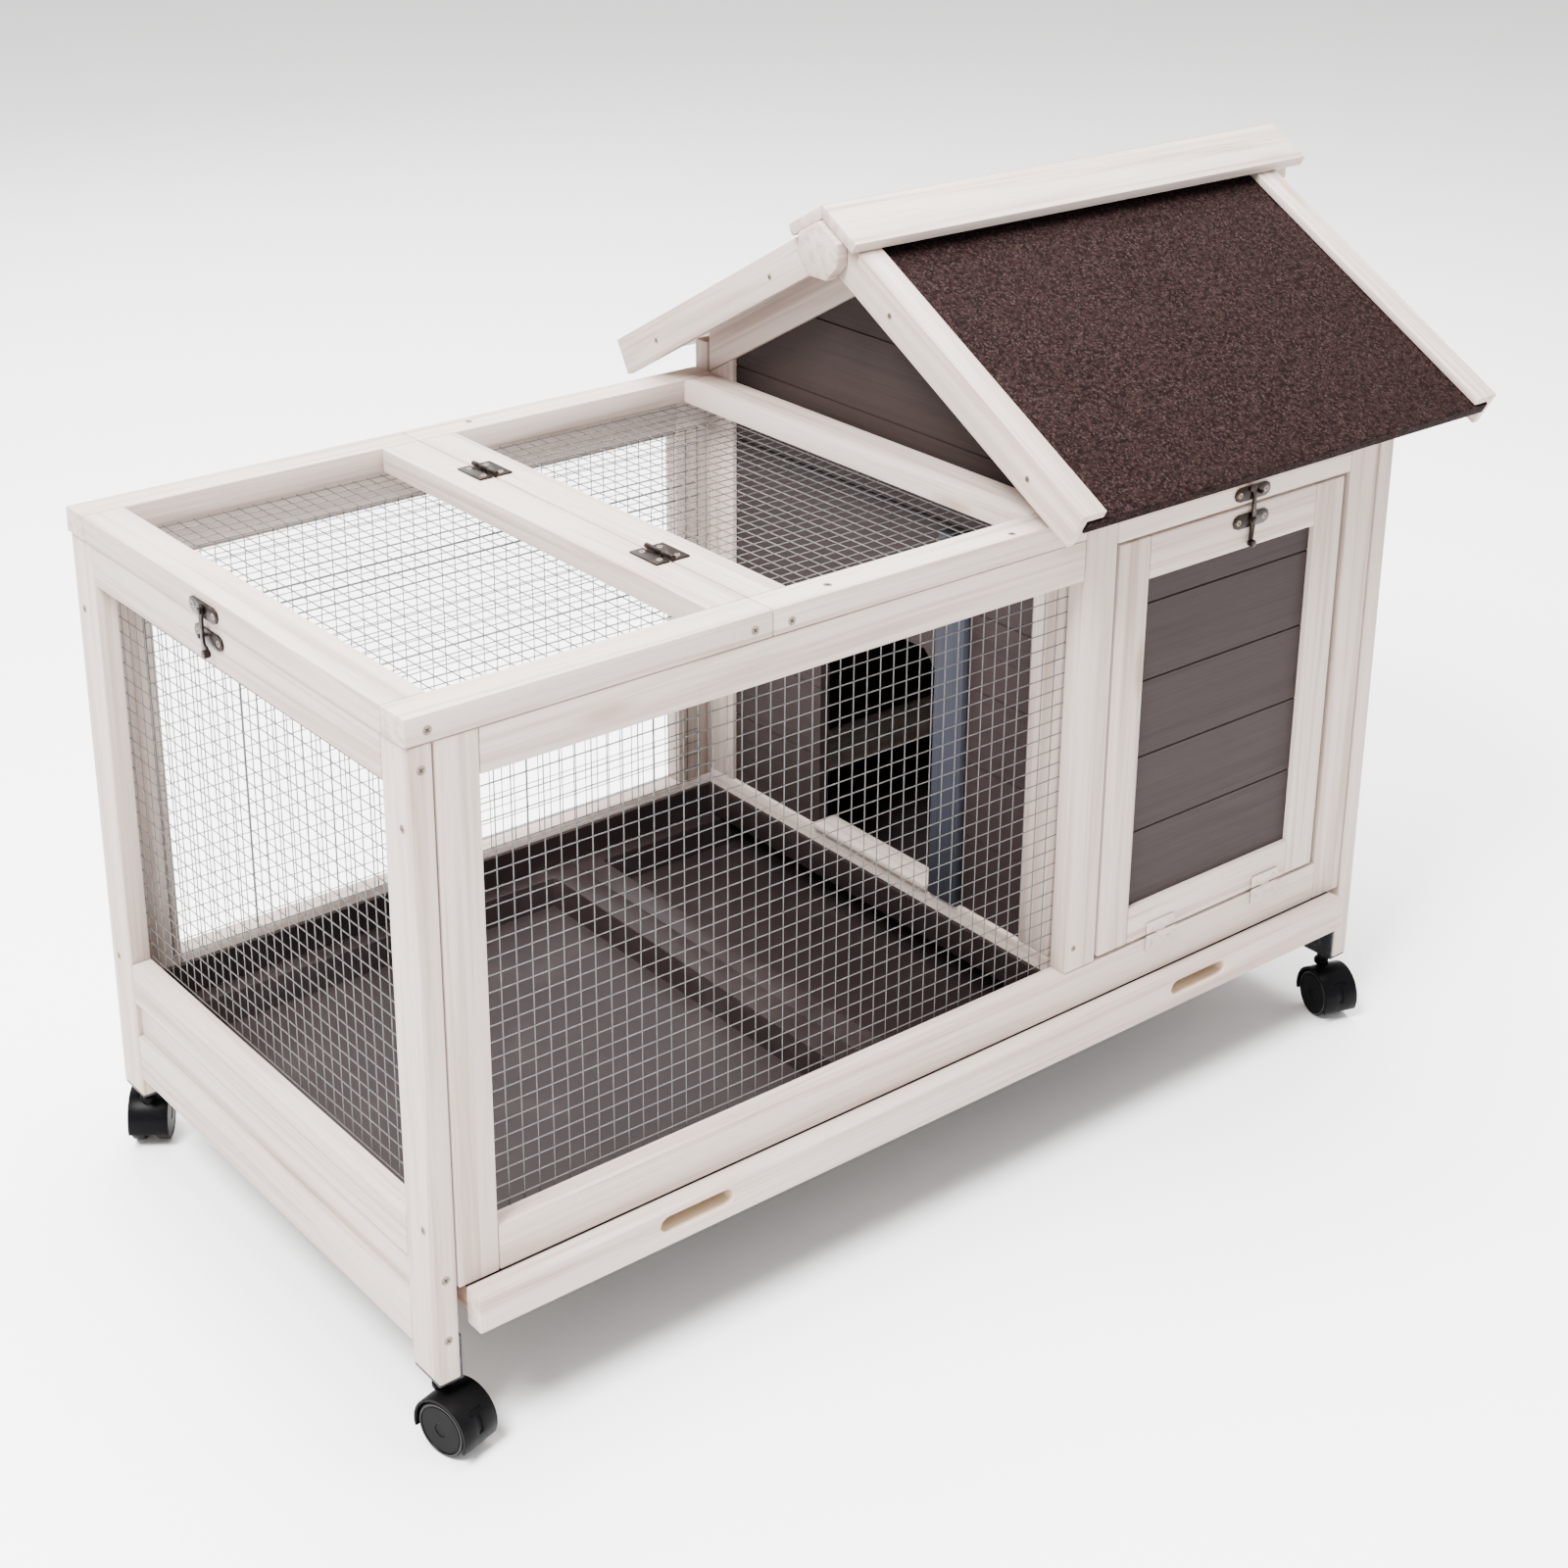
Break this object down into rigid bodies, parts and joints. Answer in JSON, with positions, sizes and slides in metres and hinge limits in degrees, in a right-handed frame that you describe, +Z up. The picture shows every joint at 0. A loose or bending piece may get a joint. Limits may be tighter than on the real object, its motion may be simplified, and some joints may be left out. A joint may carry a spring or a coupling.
{
  "type": "rabbit hutch",
  "caption": "Rabbit hutch on swivel casters: wire mesh run with a lifting lid, gabled house with a drop-down door, and a slide-out drawer with litter trays.",
  "frame": {"origin": "on the floor under the middle of the overall box", "axes": "+X from the run towards the house along the hutch, +Y from the door side to the back, +Z up"},
  "size_m": [1.0644, 0.5786, 0.7579],
  "materials": {
    "white_painted_wood": "warm white paint over planed softwood",
    "grey_painted_boards": "warm grey paint over tongue and groove boards",
    "bare_pine": "brown stained softwood",
    "roofing_felt": "red brown mineral surfaced roofing felt",
    "galvanised_mesh": "dull galvanised",
    "dark_bronze": "dark bronze plating",
    "painted_hinge": "painted over with the frame",
    "tray_plastic": "glossy dark brown",
    "kick_board_brown": "dark brown",
    "caster_steel": "black",
    "caster_nylon": "black, semi matte"
  },
  "bodies": {
    "hutch": {"post_front_left": "white_painted_wood", "post_front_right": "white_painted_wood", "post_back_left": "white_painted_wood", "post_back_right": "white_painted_wood", "front_frame": "white_painted_wood", "back_frame": "white_painted_wood", "end_top_rail": "white_painted_wood", "end_lower_rails": "white_painted_wood", "fixed_top_frame": "white_painted_wood", "barge_boards_left": "white_painted_wood", "barge_boards_right": "white_painted_wood", "ridge_cap": "white_painted_wood", "ridge_end_block_left": "white_painted_wood", "ridge_end_block_right": "white_painted_wood", "partition_frame": "white_painted_wood", "right_end_frame": "white_painted_wood", "house_back_boards": "grey_painted_boards", "partition_boards": "grey_painted_boards", "right_end_boards": "grey_painted_boards", "roof_panel_front": "roofing_felt", "roof_panel_back": "roofing_felt", "run_front_mesh": "galvanised_mesh", "run_back_mesh": "galvanised_mesh", "run_end_mesh": "galvanised_mesh", "fixed_top_mesh": "galvanised_mesh", "top_hinge_leaf_front": "dark_bronze", "top_hinge_leaf_back": "dark_bronze", "end_latch_plate": "dark_bronze", "header_latch_plate": "dark_bronze", "rail_hinge_leaf_left": "painted_hinge", "rail_hinge_leaf_right": "painted_hinge", "kick_board": "kick_board_brown", "caster_bracket_front_left": "caster_steel", "caster_bracket_front_right": "caster_steel", "caster_bracket_back_left": "caster_steel", "caster_bracket_back_right": "caster_steel"},
    "lid": {"lid_frame": "white_painted_wood", "lid_mesh": "galvanised_mesh", "lid_hinge_leaf_front": "dark_bronze", "lid_hinge_leaf_back": "dark_bronze", "lid_latch_plate": "dark_bronze"},
    "lid_latch": {"lid_latch_hook": "dark_bronze"},
    "door": {"door_frame": "white_painted_wood", "door_boards": "grey_painted_boards", "door_hinge_leaf_left": "painted_hinge", "door_hinge_leaf_right": "painted_hinge", "door_latch_plate": "dark_bronze"},
    "door_latch": {"door_latch_hook": "dark_bronze"},
    "drawer": {"drawer_front": "white_painted_wood", "drawer_frame": "bare_pine", "tray_left": "tray_plastic", "tray_right": "tray_plastic"},
    "caster_front_left": {"caster_hood_front_left": "caster_nylon"},
    "wheels_front_left": {"caster_wheels_front_left": "caster_nylon"},
    "caster_front_right": {"caster_hood_front_right": "caster_nylon"},
    "wheels_front_right": {"caster_wheels_front_right": "caster_nylon"},
    "caster_back_left": {"caster_hood_back_left": "caster_nylon"},
    "wheels_back_left": {"caster_wheels_back_left": "caster_nylon"},
    "caster_back_right": {"caster_hood_back_right": "caster_nylon"},
    "wheels_back_right": {"caster_wheels_back_right": "caster_nylon"}
  },
  "joints": [
    {"name": "lid_hinge", "type": "hinge", "parent": "hutch", "child": "lid", "pos_m": [-0.23475, 0, 0.561], "axis": [0, 1, 0], "range_deg": [0, 135]},
    {"name": "lid_latch_swing", "type": "hinge", "parent": "lid", "child": "lid_latch", "pos_m": [-0.52855, 0.0195, 0.5465], "axis": [-1, 0, 0], "range_deg": [0, 110]},
    {"name": "door_hinge", "type": "hinge", "parent": "hutch", "child": "door", "pos_m": [0, -0.2464, 0.1666], "axis": [1, 0, 0], "range_deg": [0, 90]},
    {"name": "door_latch_swing", "type": "hinge", "parent": "door", "child": "door_latch", "pos_m": [0.25225, -0.2468, 0.5135], "axis": [0, -1, 0], "range_deg": [0, 110]},
    {"name": "drawer_slide", "type": "slide", "parent": "hutch", "child": "drawer", "axis": [0, -1, 0], "range_m": [0, 0.4]},
    {"name": "swivel_front_left", "type": "hinge", "parent": "hutch", "child": "caster_front_left", "pos_m": [-0.51195, -0.22625, 0.05], "axis": [0, 0, 1], "continuous": true},
    {"name": "roll_front_left", "type": "hinge", "parent": "caster_front_left", "child": "wheels_front_left", "pos_m": [-0.50872, -0.23832, 0.021], "axis": [0.9659, 0.2588, 0], "continuous": true},
    {"name": "swivel_front_right", "type": "hinge", "parent": "hutch", "child": "caster_front_right", "pos_m": [0.41845, -0.22625, 0.05], "axis": [0, 0, 1], "continuous": true},
    {"name": "roll_front_right", "type": "hinge", "parent": "caster_front_right", "child": "wheels_front_right", "pos_m": [0.4148, -0.2382, 0.021], "axis": [0.9563, -0.2924, 0], "continuous": true},
    {"name": "swivel_back_left", "type": "hinge", "parent": "hutch", "child": "caster_back_left", "pos_m": [-0.51195, 0.22625, 0.05], "axis": [0, 0, 1], "continuous": true},
    {"name": "roll_back_left", "type": "hinge", "parent": "caster_back_left", "child": "wheels_back_left", "pos_m": [-0.5046, 0.23636, 0.021], "axis": [-0.809, 0.5878, 0], "continuous": true},
    {"name": "swivel_back_right", "type": "hinge", "parent": "hutch", "child": "caster_back_right", "pos_m": [0.41845, 0.22625, 0.05], "axis": [0, 0, 1], "continuous": true},
    {"name": "roll_back_right", "type": "hinge", "parent": "caster_back_right", "child": "wheels_back_right", "pos_m": [0.42168, 0.23832, 0.021], "axis": [-0.9659, 0.2588, 0], "continuous": true}
  ]
}
